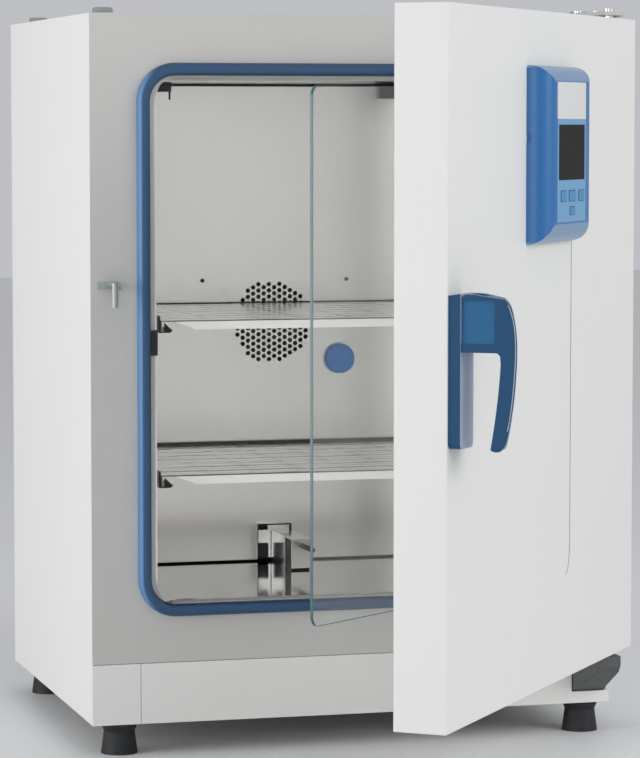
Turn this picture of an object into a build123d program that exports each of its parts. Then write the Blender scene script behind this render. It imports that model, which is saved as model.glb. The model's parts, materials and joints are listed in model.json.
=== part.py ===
from build123d import *
import math
import os

# Bench-top laboratory incubator, forced-air, about 100 litres.  Millimetres, +Z up, front towards -Y.
# Origin: on the bench, on the cabinet's centre plane (X = 0), in the plane of the door's hinge axis (Y = 0).
# Everything on the outer door is drawn with the door shut and then swung to its rest angle.

# ---- driving dimensions -------------------------------------------------------------------------
HALF_WIDTH = 320.0            # cabinet, 640 wide
CABINET_BOTTOM = 36.0         # underside of the base plate, on its levelling feet
CABINET_TOP = 856.0
FRONT = 42.0                  # outer face of the front frame
REAR = 542.0                  # outer face of the rear cover
CASING = 1.5                  # sheet of the outer casing
LINER = 1.0                   # sheet of the inner chamber

CHAMBER_HALF = 238.0
CHAMBER_FLOOR = 169.5
CHAMBER_CEILING = 779.5
CHAMBER_REAR = 466.0
BAFFLE_FRONT = 426.0          # air baffle that forms the visible back of the chamber
OPENING_HALF = 244.5
MOUTH_HALF = 240.5
OPENING_BOTTOM = 176.3
OPENING_TOP = 783.0
RECESS_DEPTH = 20.0           # step that takes the glass door

GASKET_HALF = 265.5
GASKET_BOTTOM = 160.5
GASKET_TOP = 799.6
GASKET_BAND = 14.6
GASKET_PROUD = 12.5
GASKET_RADIUS = 45.0

HINGE = (292.0, 0.0)          # outer door's vertical axis
DOOR_OPEN = 52.25             # rest angle of the outer door, degrees
DOOR_INNER = 34.0
DOOR_OUTER = -24.0
DOOR_BOTTOM = 108.0
DOOR_TOP = 852.0
DOOR_CHAMFER = 10.0           # inner corner at the hinge side
LAND_DEPTH = 5.0              # groove that the gasket closes into

GLASS_AXIS = (231.0, 50.0)
GLASS_OPEN = 38.8
GLASS_THICK = 4.0
GLASS_BOTTOM = 185.6
GLASS_TOP = 771.0
GLASS_FREE_EDGE = -241.0
GLASS_HINGE_EDGE = 237.0

SHELF_LEVELS = {"upper": 502.0, "lower": 321.5}
SHELF_FRONT = 68.0
SHELF_REAR = 422.0
SHELF_HALF = 231.0
SHELF_FLANGE = 10.5

HANDLE_LEFT = -317.5
HANDLE_RIGHT = -277.5
HANDLE_BOTTOM = 401.0
HANDLE_TOP = 557.0
HANDLE_PIVOT = (-47.0, 545.0)  # y, z of the lever's pin
STRIKER_X = -296.0
STRIKER_BAR_Y = 20.5
STRIKER_RADIUS = 3.5
LATCH_PIVOT = (-275.0, -8.0)
LATCH_LEVEL = 534.5

PANEL_HALF = 76.0
PANEL_BOTTOM = 600.0
PANEL_TOP = 792.5
PANEL_FACE_LEFT = -52.0
PANEL_FACE_RIGHT = 60.0
PANEL_FACE_BOTTOM = 622.5
PANEL_FACE_TOP = 776.0
PANEL_DEPTH = 26.6

PORT_X = 81.4
PORT_Z = 429.3
PORT_RADIUS = 17.0
FAN_X = -6.0
FAN_Z = 477.5

FOOT_X = 284.0
FOOT_Y = (65.0, 500.0)
FOOT_RADIUS = 21.5
RUNNING_CLEARANCE = 0.05


# ---- helpers ------------------------------------------------------------------------------------
def block(x0, x1, y0, y1, z0, z1):
    centre = Pos((x0 + x1) / 2, (y0 + y1) / 2, (z0 + z1) / 2)
    return centre * Box(x1 - x0, y1 - y0, z1 - z0)


def upright(x, y, z0, z1, radius):
    return Pos(x, y, (z0 + z1) / 2) * Cylinder(radius, z1 - z0)


def along_y(x, z, y0, y1, radius):
    return Pos(x, (y0 + y1) / 2, z) * Rot(X=90) * Cylinder(radius, y1 - y0)


def along_x(y, z, x0, x1, radius):
    return Pos((x0 + x1) / 2, y, z) * Rot(Y=90) * Cylinder(radius, x1 - x0)


def facing(x, z, y):
    """A sketch plane that faces the front, with its own X to the right and its own Y up."""
    return Plane(origin=(x, y, z), x_dir=(1, 0, 0), z_dir=(0, -1, 0))


def slab(x0, x1, z0, z1, y0, y1, radius):
    """A plate in the XZ plane with rounded corners."""
    outline = facing((x0 + x1) / 2, (z0 + z1) / 2, y0) * RectangleRounded(x1 - x0, z1 - z0, radius)
    return extrude(outline, amount=y1 - y0, dir=(0, 1, 0))


def ring(half, z0, z1, band, y0, y1, radius):
    """A rounded rectangular ring, centred on X = 0, of the given band width."""
    outer = slab(-half, half, z0, z1, y0, y1, radius)
    hole = slab(-half + band, half - band, z0 + band, z1 - band, y0 - 1, y1 + 1, radius - band)
    return outer - hole


def prism(points, z0, z1):
    """A flat outline in XY, drawn upwards."""
    return extrude(Pos(0, 0, z0) * make_face(Polyline(*points, close=True)), amount=z1 - z0)


def side_profile(points, x0, x1):
    """An outline given as y, z pairs, drawn along X."""
    wire = Polyline(*[(x0, y, z) for y, z in points], close=True)
    return extrude(make_face(wire), amount=x1 - x0, dir=(1, 0, 0))


def front_profile(points, y0, y1):
    """An outline given as x, z pairs, drawn along Y."""
    wire = Polyline(*[(x, y0, z) for x, z in points], close=True)
    return extrude(make_face(wire), amount=y1 - y0, dir=(0, 1, 0))


def swung(shape, axis=HINGE, angle=DOOR_OPEN):
    """Turn a shape about a vertical axis."""
    return Pos(axis[0], axis[1], 0) * Rot(Z=angle) * Pos(-axis[0], -axis[1], 0) * shape


def mirrored(shape):
    return mirror(shape, about=Plane.YZ)


def group(shapes):
    return Compound(children=[solid for shape in shapes for solid in shape.solids()])


os.makedirs("parts", exist_ok=True)


def save(name, shape):
    solids = shape.solids()
    export_step(solids[0] if len(solids) == 1 else Compound(children=list(solids)), f"parts/{name}.step")


# ---- outer casing -------------------------------------------------------------------------------
SKIN_BACK = REAR - CASING
POCKET_LEFT = 266.0           # hinge pocket in the fascia's right end
POCKET_BOTTOM = 50.0
POCKET_DEPTH = 52.0
FASCIA_TOP = 106.5
FASCIA_RIGHT = 313.0
CAP_EDGE = -263.0
SEAM = 0.6

side_panel = block(HALF_WIDTH - CASING, HALF_WIDTH, FRONT + CASING, SKIN_BACK, CABINET_BOTTOM, CABINET_TOP)
pocket = block(
    FASCIA_RIGHT + 0.5, HALF_WIDTH + 5, FRONT, FRONT + POCKET_DEPTH, CABINET_BOTTOM - 1, FASCIA_TOP + SEAM
)
save("side_panel_right", side_panel - pocket)
save("side_panel_left", mirrored(side_panel))

inner_half = HALF_WIDTH - CASING
save("top_panel", block(-inner_half, inner_half, FRONT + CASING, SKIN_BACK, CABINET_TOP - CASING, CABINET_TOP))

STUD_RADIUS = 5.0
foot_places = [(x, y) for x in (-FOOT_X, FOOT_X) for y in FOOT_Y]
base = block(-inner_half, inner_half, FRONT + CASING, SKIN_BACK, CABINET_BOTTOM, CABINET_BOTTOM + 2)
for x, y in foot_places:
    base += upright(x, y, CABINET_BOTTOM + 2, CABINET_BOTTOM + 10, 11)
    base -= upright(x, y, CABINET_BOTTOM - 1, CABINET_BOTTOM + 15, STUD_RADIUS + RUNNING_CLEARANCE)
save("base_plate", base - pocket)

frame_sheet = block(-HALF_WIDTH, HALF_WIDTH, FRONT, FRONT + CASING, FASCIA_TOP + SEAM, CABINET_TOP)
recess_outer = slab(
    -OPENING_HALF - CASING, OPENING_HALF + CASING, OPENING_BOTTOM - CASING, OPENING_TOP + CASING,
    FRONT, FRONT + RECESS_DEPTH + CASING, 32.0,
)
recess_inner = slab(
    -OPENING_HALF, OPENING_HALF, OPENING_BOTTOM, OPENING_TOP,
    FRONT - 1, FRONT + RECESS_DEPTH, 30.5,
)
for low, high in ((OPENING_BOTTOM, OPENING_BOTTOM + 40), (OPENING_TOP - 40, OPENING_TOP)):
    recess_outer += block(190, OPENING_HALF + CASING, FRONT, FRONT + RECESS_DEPTH + CASING, low - CASING, high + CASING)
    recess_inner += block(190, OPENING_HALF, FRONT - 1, FRONT + RECESS_DEPTH, low, high)
chamber_mouth = slab(
    -MOUTH_HALF, MOUTH_HALF, OPENING_BOTTOM, CHAMBER_CEILING,
    FRONT, FRONT + RECESS_DEPTH + 5, 14.0,
)
save("front_frame", frame_sheet + recess_outer - recess_inner - chamber_mouth)

fascia = block(CAP_EDGE + SEAM, FASCIA_RIGHT, FRONT, FRONT + CASING, CABINET_BOTTOM, FASCIA_TOP)
fascia -= block(POCKET_LEFT, HALF_WIDTH + 1, FRONT - 1, FRONT + 5, POCKET_BOTTOM, FASCIA_TOP + 1)
fascia += block(POCKET_LEFT - CASING, POCKET_LEFT, FRONT, FRONT + POCKET_DEPTH, POCKET_BOTTOM, FASCIA_TOP)
fascia += block(
    POCKET_LEFT - CASING, FASCIA_RIGHT, FRONT, FRONT + POCKET_DEPTH, POCKET_BOTTOM - CASING, POCKET_BOTTOM
)
save("lower_fascia", fascia)

cap = slab(-HALF_WIDTH, CAP_EDGE, CABINET_BOTTOM, FASCIA_TOP, FRONT, FRONT + CASING, 1.0)
for z in (CABINET_BOTTOM + 12, FASCIA_TOP - 12):
    cap += block(-HALF_WIDTH + 14, CAP_EDGE - 14, FRONT + CASING, FRONT + 9, z - 3, z + 3)
save("corner_cap_left", cap)

VENT_COUNT = 9
rear = block(-HALF_WIDTH, HALF_WIDTH, SKIN_BACK, REAR, CABINET_BOTTOM, CABINET_TOP)
rear -= along_y(PORT_X, PORT_Z, SKIN_BACK - 1, REAR + 1, PORT_RADIUS + 3.2)
for row in range(VENT_COUNT):
    for x in (-205.0, 205.0):
        rear -= block(x - 45, x + 45, SKIN_BACK - 1, REAR + 1, 700 + row * 12, 704 + row * 12)
INLET_X = -225.0
INLET_Z = 118.0
rear -= block(INLET_X - 14, INLET_X + 14, SKIN_BACK - 1, REAR + 1, INLET_Z - 11, INLET_Z + 11)
save("rear_cover", rear)

# ---- hinge brackets and pins --------------------------------------------------------------------
PIN_RADIUS = 5.0
BRACKET_LEFT = 267.0
BRACKET_RIGHT = 308.0
BRACKET_BOTTOM = 51.0
BRACKET_TOP = 100.0
bracket_points = [(43.5, 51.0), (36.0, 56.0), (-6.0, 79.0), (-12.0, 87.0), (-12.0, 100.0), (43.5, 100.0)]
lower_bracket = side_profile(bracket_points, BRACKET_LEFT, BRACKET_RIGHT)
lower_bracket += block(BRACKET_LEFT, BRACKET_RIGHT + 2, FRONT + CASING, FRONT + POCKET_DEPTH - 2, BRACKET_BOTTOM, BRACKET_TOP)
lower_bracket -= prism([(266.0, 36.0), (266.0, -13.0), (281.0, -13.0), (267.0, 36.0)], 50.0, 101.0)
save("lower_hinge_bracket", lower_bracket)

PLATE_TOP = CABINET_TOP + 5
plate_outline = [
    (270.0, 88.0), (270.0, 20.0), (282.0, -14.0), (302.0, -14.0), (318.0, 20.0), (318.0, 88.0),
]
save("upper_hinge_plate", prism(plate_outline, CABINET_TOP, PLATE_TOP))

lower_pin = upright(*HINGE, 100.0, DOOR_BOTTOM + 24, PIN_RADIUS)
lower_pin += upright(*HINGE, 100.0, DOOR_BOTTOM - RUNNING_CLEARANCE, 8.0)
upper_pin = upright(*HINGE, DOOR_TOP - 24, CABINET_TOP, PIN_RADIUS)
upper_head = upright(*HINGE, PLATE_TOP, PLATE_TOP + 3, 6.5)
rear_bolts = [upright(x, 80.0, PLATE_TOP, PLATE_TOP + 3, 5.5) for x in (282.0, 306.0)]
save("hinge_pins", group([lower_pin, upper_pin, upper_head] + rear_bolts))

# ---- chamber ------------------------------------------------------------------------------------
WALL_FRONT = FRONT + RECESS_DEPTH + CASING
wall = block(CHAMBER_HALF, CHAMBER_HALF + LINER, WALL_FRONT, CHAMBER_REAR, CHAMBER_FLOOR - LINER, CHAMBER_CEILING + LINER)
wall += block(
    CHAMBER_HALF, OPENING_HALF, WALL_FRONT, WALL_FRONT + LINER, CHAMBER_FLOOR - LINER, CHAMBER_CEILING + LINER
)
save("chamber_side_walls", group([wall, mirrored(wall)]))

ceiling = block(-CHAMBER_HALF, CHAMBER_HALF, WALL_FRONT, CHAMBER_REAR, CHAMBER_CEILING, CHAMBER_CEILING + LINER)
save("chamber_ceiling", ceiling)
floor = block(-CHAMBER_HALF, CHAMBER_HALF, WALL_FRONT, CHAMBER_REAR, CHAMBER_FLOOR - LINER, CHAMBER_FLOOR)
floor += block(-CHAMBER_HALF, CHAMBER_HALF, WALL_FRONT, WALL_FRONT + LINER, CHAMBER_FLOOR, OPENING_BOTTOM - CASING)
floor -= Pos(-193, 114, CHAMBER_FLOOR) * Box(20, 5, 6)
save("chamber_floor", floor)
rear_wall = block(
    -CHAMBER_HALF - LINER, CHAMBER_HALF + LINER, CHAMBER_REAR, CHAMBER_REAR + LINER,
    CHAMBER_FLOOR - LINER, CHAMBER_CEILING + LINER,
)
rear_wall -= along_y(PORT_X, PORT_Z, CHAMBER_REAR - 1, CHAMBER_REAR + 3, PORT_RADIUS + 3.2)
rear_wall -= along_y(FAN_X, FAN_Z, CHAMBER_REAR - 1, CHAMBER_REAR + 3, 9)
save("chamber_rear_wall", rear_wall)

# Air baffle: a mirror-finished sheet with a round field of holes packed in a hexagonal pattern.
GRILLE_COLUMNS = 14
GRILLE_ROWS = 13
COLUMN_STEP = 6.93
ROW_STEP = 8.0
GRILLE_HOLE = 2.9
GRILLE_HALF_WIDE = 50.0
GRILLE_HALF_HIGH = 54.0
SLOT_LEFT = -25.0
SLOT_RIGHT = 20.0
SLOT_TOP = 217.5
hole_places = []
for column in range(GRILLE_COLUMNS):
    for row in range(GRILLE_ROWS - column % 2):
        u = (column - (GRILLE_COLUMNS - 1) / 2) * COLUMN_STEP
        v = (row - (GRILLE_ROWS - 1 - column % 2) / 2) * ROW_STEP
        if math.hypot(u / GRILLE_HALF_WIDE, v / GRILLE_HALF_HIGH) < 1:
            hole_places.append((FAN_X + u, FAN_Z + v))
BAFFLE_BOTTOM = 172.0
BAFFLE_TOP = 777.0
baffle_face = Rectangle(2 * (CHAMBER_HALF - 1), BAFFLE_TOP - BAFFLE_BOTTOM)
middle = (BAFFLE_TOP + BAFFLE_BOTTOM) / 2
baffle_face -= [Pos(x, z - middle) * Circle(GRILLE_HOLE) for x, z in hole_places]
baffle_face -= Pos(PORT_X, PORT_Z - middle) * Circle(PORT_RADIUS + 3.2)
slot_middle = (BAFFLE_BOTTOM + SLOT_TOP) / 2 - middle
baffle_face -= Pos((SLOT_LEFT + SLOT_RIGHT) / 2, slot_middle) * Rectangle(SLOT_RIGHT - SLOT_LEFT, SLOT_TOP - BAFFLE_BOTTOM)
baffle = extrude(facing(0, middle, BAFFLE_FRONT) * baffle_face, amount=LINER, dir=(0, 1, 0))
save("rear_air_baffle", baffle)

tabs = []
for x in (-97.0, 91.5):
    tabs.append(along_y(x, 531.0, BAFFLE_FRONT - 2.0, BAFFLE_FRONT, 2.6))
    tabs.append(along_y(x, 531.0, BAFFLE_FRONT + LINER, CHAMBER_REAR, 3.0))
save("baffle_screws", group(tabs))

# Boards of insulation between the chamber and the casing.
GAP = 4.0
boards = [
    block(CHAMBER_HALF + LINER + 1, HALF_WIDTH - CASING - GAP, 70, 520, 180, 780),
    block(-HALF_WIDTH + CASING + GAP, -CHAMBER_HALF - LINER - 1, 70, 520, 180, 780),
    block(-310, 310, 100, 520, 786, 850),
    block(-262, 262, 66, 464, 116, 164),
    block(-232, FAN_X - 44, CHAMBER_REAR + LINER + 1, 520, 180, 780),
    block(FAN_X + 44, PORT_X - 24, CHAMBER_REAR + LINER + 1, 520, 180, 780),
    block(PORT_X + 24, 232, CHAMBER_REAR + LINER + 1, 520, 180, 780),
]
save("insulation_boards", group(boards))

# ---- seal, striker and glass catch --------------------------------------------------------------
gasket = ring(GASKET_HALF, GASKET_BOTTOM, GASKET_TOP, GASKET_BAND, FRONT - GASKET_PROUD, FRONT, GASKET_RADIUS)
save("door_gasket", gasket)

STRIKER_BOTTOM = 521.0
STRIKER_TOP = 549.0
LEG = 4.0
striker = block(-312.0, -287.0, FRONT - 2.0, FRONT, STRIKER_TOP - 8, STRIKER_TOP)
striker += block(
    STRIKER_X - STRIKER_RADIUS, -287.0, STRIKER_BAR_Y, FRONT - 1, STRIKER_TOP - LEG, STRIKER_TOP
)
striker += block(-289.5, -287.0, STRIKER_BAR_Y, FRONT - 1, STRIKER_TOP - 8, STRIKER_TOP)
striker += upright(STRIKER_X, STRIKER_BAR_Y, STRIKER_BOTTOM, STRIKER_TOP, STRIKER_RADIUS)
save("door_striker", striker)

catch = block(-250.4, -242.2, FRONT - 4, FRONT, 464.0, 493.0)
catch += block(-OPENING_HALF + 0.1, -242.2, FRONT, FRONT + 14, 464.0, 493.0)
save("glass_catch", catch)

# ---- glass inner door ---------------------------------------------------------------------------
PIN = 3.0
CLAMP_LEFT = 218.0
CLAMP_RIGHT = 238.5
CLAMP_HALF = 4.4
hinge_blocks = []
glass_clamps = []
for low, high, clamp_low, clamp_high, end in (
    (OPENING_BOTTOM + 0.2, 182.6, 184.1, 205.0, GLASS_BOTTOM),
    (774.0, OPENING_TOP - 0.2, 751.6, 772.5, GLASS_TOP),
):
    ear = block(222.0, 243.5, FRONT + 1, FRONT + 15, low, high)
    ear -= upright(*GLASS_AXIS, low - 1, high + 1, PIN + RUNNING_CLEARANCE)
    hinge_blocks.append(ear)
    shoe = block(CLAMP_LEFT, CLAMP_RIGHT, GLASS_AXIS[1] - CLAMP_HALF, GLASS_AXIS[1] + CLAMP_HALF, clamp_low, clamp_high)
    shoe -= block(
        CLAMP_LEFT - 1, CLAMP_RIGHT + 1, GLASS_AXIS[1] - GLASS_THICK / 2, GLASS_AXIS[1] + GLASS_THICK / 2,
        max(clamp_low - 5, GLASS_BOTTOM), min(clamp_high + 5, GLASS_TOP),
    )
    if low < 400:
        shoe += upright(*GLASS_AXIS, low + 1, clamp_low, PIN)
    else:
        shoe += upright(*GLASS_AXIS, clamp_high, high - 1, PIN)
    glass_clamps.append(swung(shoe, GLASS_AXIS, GLASS_OPEN))
save("glass_hinge_blocks", group(hinge_blocks))
save("glass_clamps", group(glass_clamps))

half_glass = GLASS_THICK / 2
pane = slab(
    GLASS_FREE_EDGE, GLASS_HINGE_EDGE, GLASS_BOTTOM, GLASS_TOP,
    GLASS_AXIS[1] - half_glass, GLASS_AXIS[1] + half_glass, 12.0,
)
save("glass_pane", swung(pane, GLASS_AXIS, GLASS_OPEN))

# ---- shelves and their carriers -----------------------------------------------------------------
RAIL_FACE = 235.0
RAIL_FRONT = 84.0
rails = []
for sign in (-1, 1):
    for y in (RAIL_FRONT, 372.0):
        rail = block(RAIL_FACE, CHAMBER_HALF, y, y + 18, 190, 765)
        for level in range(12):
            z = 222 + level * 46
            rail -= block(RAIL_FACE - 1, CHAMBER_HALF + 1, y + 6, y + 12, z, z + 16)
        rails.append(rail if sign > 0 else mirrored(rail))
save("shelf_rails", group(rails))

clip = block(219.0, CHAMBER_HALF, 66.0, 78.0, 766.5, 778.0)
clip -= block(222.0, 234.0, 69.0, 85.0, 760.0, 774.0)
clip += upright(220.6, 68.0, 757.5, 767.5, 1.2)
baffle_clip = block(132.0, 153.0, 414.0, BAFFLE_FRONT, 762.0, BAFFLE_TOP)
baffle_clip -= block(135.0, 150.0, 417.0, BAFFLE_FRONT - 3, 760.0, 770.0)
save("rail_spring_clips", group([clip, mirrored(clip), baffle_clip]))

RUNNER_WEB = 1.2
WEB_FACE = 233.8
RUNNER_LIP = 219.5
CURL = 4.0                    # radius of the runner's curled free edge
runners = []
for level in SHELF_LEVELS.values():
    low = level - 13.6
    web = block(WEB_FACE, RAIL_FACE, SHELF_FRONT - 6, 415.0, low, level + 6)
    foot = block(RUNNER_LIP + CURL, RAIL_FACE, SHELF_FRONT - 6, 415.0, low, low + RUNNER_WEB)
    curl = along_y(RUNNER_LIP + CURL, low + CURL, SHELF_FRONT - 6, 415.0, CURL)
    curl -= along_y(RUNNER_LIP + CURL, low + CURL, SHELF_FRONT - 7, 416.0, CURL - RUNNER_WEB)
    curl &= block(RUNNER_LIP - 1, RUNNER_LIP + CURL, SHELF_FRONT - 6, 415.0, low - 1, low + CURL)
    end_points = [(RUNNER_LIP + 0.3, low + CURL - 1), (RUNNER_LIP + 2, low + 0.6), (229.3, low + 0.6), (229.3, low + 12)]
    end = front_profile(end_points, SHELF_FRONT - 6, SHELF_FRONT - 4.5)
    runner = web + foot + curl + end
    runners += [runner, mirrored(runner)]
save("shelf_runners", group(runners))

REAR_STOPS = {"upper": 1.5, "lower": 4.0}
SLOT_LENGTH = 45.0
SLOT_WIDTH = 4.0


def shelf(level, stop):
    """A folded stainless shelf: rows of slots, side folds that slide in the runners, a raised stop at the rear."""
    width = 2 * SHELF_HALF
    depth = SHELF_REAR - SHELF_FRONT
    face = Rectangle(width, depth)
    face -= GridLocations(56, 27, 8, 12) * SlotOverall(SLOT_LENGTH, SLOT_WIDTH)
    sheet = extrude(Pos(0, (SHELF_FRONT + SHELF_REAR) / 2, level - LINER) * face, amount=LINER)
    folds = []
    for x in (-SHELF_HALF, SHELF_HALF - LINER):
        folds.append(block(x, x + LINER, SHELF_FRONT, SHELF_REAR, level - 12.35, level))
    lip_points = [(-218.0, level), (-190.0, level - SHELF_FLANGE), (190.0, level - SHELF_FLANGE), (218.0, level)]
    folds.append(front_profile(lip_points, SHELF_FRONT, SHELF_FRONT + LINER))
    folds.append(front_profile(lip_points, SHELF_REAR - LINER, SHELF_REAR))
    folds.append(block(-218.0, 218.0, SHELF_REAR - LINER, SHELF_REAR, level - LINER, level + stop))
    for fold in folds:
        sheet += fold
    return sheet


for name, level in SHELF_LEVELS.items():
    save(f"shelf_{name}", shelf(level, REAR_STOPS[name]))

# ---- air circulation, heating and sensing behind the baffle ------------------------------------
motor = along_y(FAN_X, FAN_Z, 468.2, 522.0, 38)
motor += along_y(FAN_X, FAN_Z, CHAMBER_REAR - 6, 468.2, 8.2)
motor -= along_y(FAN_X, FAN_Z, 455.0, 512.0, 4 + RUNNING_CLEARANCE)
save("fan_motor", motor)

wheel = along_y(FAN_X, FAN_Z, 436.0, 438.0, 44)
wheel += along_y(FAN_X, FAN_Z, 436.0, 456.0, 11)
wheel += along_y(FAN_X, FAN_Z, 436.0, 508.0, 4)
BLADES = 16
for i in range(BLADES):
    blade = Rot(Z=i * 360 / BLADES) * Pos(35, 0, 0) * Rot(Z=32) * Box(15, 1.4, 17)
    wheel += Pos(FAN_X, 446.0, FAN_Z) * Rot(X=90) * blade
save("fan_wheel", wheel)

heater = Pos(FAN_X, 446.0, FAN_Z) * Rot(X=90) * Torus(62, 3.6)
for x in (FAN_X - 8, FAN_X + 8):
    heater += along_y(x, FAN_Z - 61.5, 446.0, CHAMBER_REAR, 3.0)
save("heater_ring", heater)

sleeve = along_y(PORT_X, PORT_Z, BAFFLE_FRONT - 1.5, REAR + 2, PORT_RADIUS + 3)
sleeve -= along_y(PORT_X, PORT_Z, BAFFLE_FRONT - 5, REAR + 5, PORT_RADIUS + 0.6)
save("port_sleeve", sleeve)

INNER_PLUG_FRONT = 415.5
inner_plug = along_y(PORT_X, PORT_Z, INNER_PLUG_FRONT, BAFFLE_FRONT - 1.8, PORT_RADIUS + 1.8)
inner_plug = fillet(inner_plug.edges().filter_by(GeomType.CIRCLE).group_by(Axis.Y)[0], 2.0)
inner_plug += along_y(PORT_X, PORT_Z, BAFFLE_FRONT - 1.8, 452.0, PORT_RADIUS)
save("inner_port_plug", inner_plug)
outer_plug = along_y(PORT_X, PORT_Z, REAR + 2.3, REAR + 5.5, PORT_RADIUS + 4)
outer_plug += along_y(PORT_X, PORT_Z, 500.0, REAR + 2.3, PORT_RADIUS)
save("outer_port_plug", outer_plug)

GUARD_TOP = 209.0
GUARD_FRONT = 326.0
GUARD_REAR = 425.5
GUARD_LEFT = -6.5
GUARD_RIGHT = 18.0
WINDOW_REAR = 359.0           # the guard's left side is open in front of this
FLANGE_FRONT = 428.0
PROBE_X = 8.5
PROBE_Z = 200.0
guard = block(GUARD_LEFT, GUARD_RIGHT, GUARD_FRONT, FLANGE_FRONT + LINER, GUARD_TOP - LINER, GUARD_TOP)
guard += block(GUARD_LEFT, GUARD_RIGHT, GUARD_FRONT, GUARD_FRONT + LINER, CHAMBER_FLOOR + 2.5, GUARD_TOP)
guard += block(GUARD_RIGHT - LINER, GUARD_RIGHT, GUARD_FRONT, GUARD_REAR, CHAMBER_FLOOR, GUARD_TOP)
guard += block(GUARD_LEFT, GUARD_LEFT + LINER, WINDOW_REAR, GUARD_REAR, CHAMBER_FLOOR, GUARD_TOP)
guard += block(-23.5, GUARD_RIGHT, FLANGE_FRONT, FLANGE_FRONT + LINER, BAFFLE_BOTTOM + 2, SLOT_TOP - 2)
guard -= block(-24.5, -10.5, FLANGE_FRONT - 1, FLANGE_FRONT + 3, BAFFLE_BOTTOM, 192.5)
guard -= block(-24.5, -11.0, FLANGE_FRONT - 1, FLANGE_FRONT + 3, 209.5, SLOT_TOP)
guard -= along_y(PROBE_X, PROBE_Z, GUARD_FRONT - 1, GUARD_FRONT + 2, 3.3)
guard -= along_y(PROBE_X, 192.0, FLANGE_FRONT - 1, FLANGE_FRONT + 3, 3.3)
save("sensor_guard", guard)

# The probe leaves its holder through the guard's front; a cut-out stat sits low in the baffle's slot.
probe = along_y(PROBE_X, PROBE_Z, 284.0, 340.0, 3.0)
probe += block(
    GUARD_LEFT + 0.5, GUARD_RIGHT - 2, GUARD_FRONT + 1.3, WINDOW_REAR - 0.5, CHAMBER_FLOOR, GUARD_TOP - 1.3
)
probe += along_y(PROBE_X, 192.0, 340.0, CHAMBER_REAR, 3.0)
cut_out = block(-24.0, -11.0, BAFFLE_FRONT - 2, CHAMBER_REAR, 174.5, 192.0)
save("temperature_probe", group([probe, cut_out]))

# ---- rear connections and board ---------------------------------------------------------------
inlet = block(INLET_X - 13.5, INLET_X + 13.5, REAR - 24, REAR + 1.5, INLET_Z - 10.5, INLET_Z + 10.5)
inlet -= block(INLET_X - 11.5, INLET_X + 11.5, REAR - 16, REAR + 3, INLET_Z - 8, INLET_Z + 8)
for dx, dz in ((-6.0, -2.0), (0.0, 3.0), (6.0, -2.0)):
    inlet += block(INLET_X + dx - 1, INLET_X + dx + 1, REAR - 17, REAR - 2, INLET_Z + dz - 2, INLET_Z + dz + 2)
save("mains_inlet", inlet)

pads = []
for x in (-292.0, 292.0):
    for y in (102.0, 500.0):
        pad = upright(x, y, CABINET_TOP, CABINET_TOP + 8, 12)
        pads.append(fillet(pad.edges().filter_by(GeomType.CIRCLE).group_by(Axis.Z)[-1], 3.0))
save("stacking_pads", group(pads))

# ---- levelling feet -----------------------------------------------------------------------------
NECK_RADIUS = 18.0
COLLAR_RADIUS = 20.5
for (x, y), name in zip(foot_places, ("front_left", "rear_left", "front_right", "rear_right")):
    foot = Pos(x, y, 13) * Cone(FOOT_RADIUS, NECK_RADIUS, 26)
    foot += Pos(x, y, 29) * Cone(NECK_RADIUS, COLLAR_RADIUS, 6)
    foot += upright(x, y, 32, CABINET_BOTTOM - 0.5, COLLAR_RADIUS)
    foot += upright(x, y, CABINET_BOTTOM - 0.5, CABINET_BOTTOM + 11.5, STUD_RADIUS)
    save(f"levelling_foot_{name}", foot)

# ---- outer door ---------------------------------------------------------------------------------
edge = HALF_WIDTH
cut = DOOR_CHAMFER
outline = [(-edge, DOOR_INNER), (-edge, DOOR_OUTER), (edge, DOOR_OUTER), (edge, DOOR_INNER - cut), (edge - cut, DOOR_INNER)]
skin = prism(outline, DOOR_BOTTOM, DOOR_TOP)
inside = edge - CASING
hollow = [
    (-inside, DOOR_INNER + 5), (-inside, DOOR_OUTER + CASING), (inside, DOOR_OUTER + CASING),
    (inside, DOOR_INNER - cut), (inside - cut, DOOR_INNER), (inside - cut, DOOR_INNER + 5),
]
skin -= prism(hollow, DOOR_BOTTOM + CASING, DOOR_TOP - CASING)
BUSH_RADIUS = 9.0
skin -= upright(*HINGE, DOOR_BOTTOM - 1, DOOR_TOP + 1, BUSH_RADIUS)
save("door_outer_skin", swung(skin))

PANEL_EDGE = inside - 0.1
PANEL_SHEET = 1.2
land_half = GASKET_HALF + 2.0
land_band = GASKET_BAND + 4.0
inner = block(
    -PANEL_EDGE, PANEL_EDGE - cut, DOOR_INNER - PANEL_SHEET, DOOR_INNER, DOOR_BOTTOM + 1.6, DOOR_TOP - 1.6
)
inner += ring(
    land_half + PANEL_SHEET, GASKET_BOTTOM - 2 - PANEL_SHEET, GASKET_TOP + 2 + PANEL_SHEET,
    land_band + 2 * PANEL_SHEET, DOOR_INNER - LAND_DEPTH - PANEL_SHEET, DOOR_INNER, GASKET_RADIUS + 3.2,
)
inner -= ring(
    land_half, GASKET_BOTTOM - 2, GASKET_TOP + 2, land_band, DOOR_INNER - LAND_DEPTH, DOOR_INNER + 1, GASKET_RADIUS + 2
)
LATCH_SLOT = (-305.0, -269.0, 515.0, 554.0)
inner -= block(*LATCH_SLOT[:2], DOOR_INNER - 8, DOOR_INNER + 1, *LATCH_SLOT[2:])
save("door_inner_panel", swung(inner))

board = block(-262.0, 268.0, DOOR_OUTER + 3, DOOR_INNER - 8, DOOR_BOTTOM + 10, DOOR_TOP - 10)
save("door_insulation", swung(board))

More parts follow.
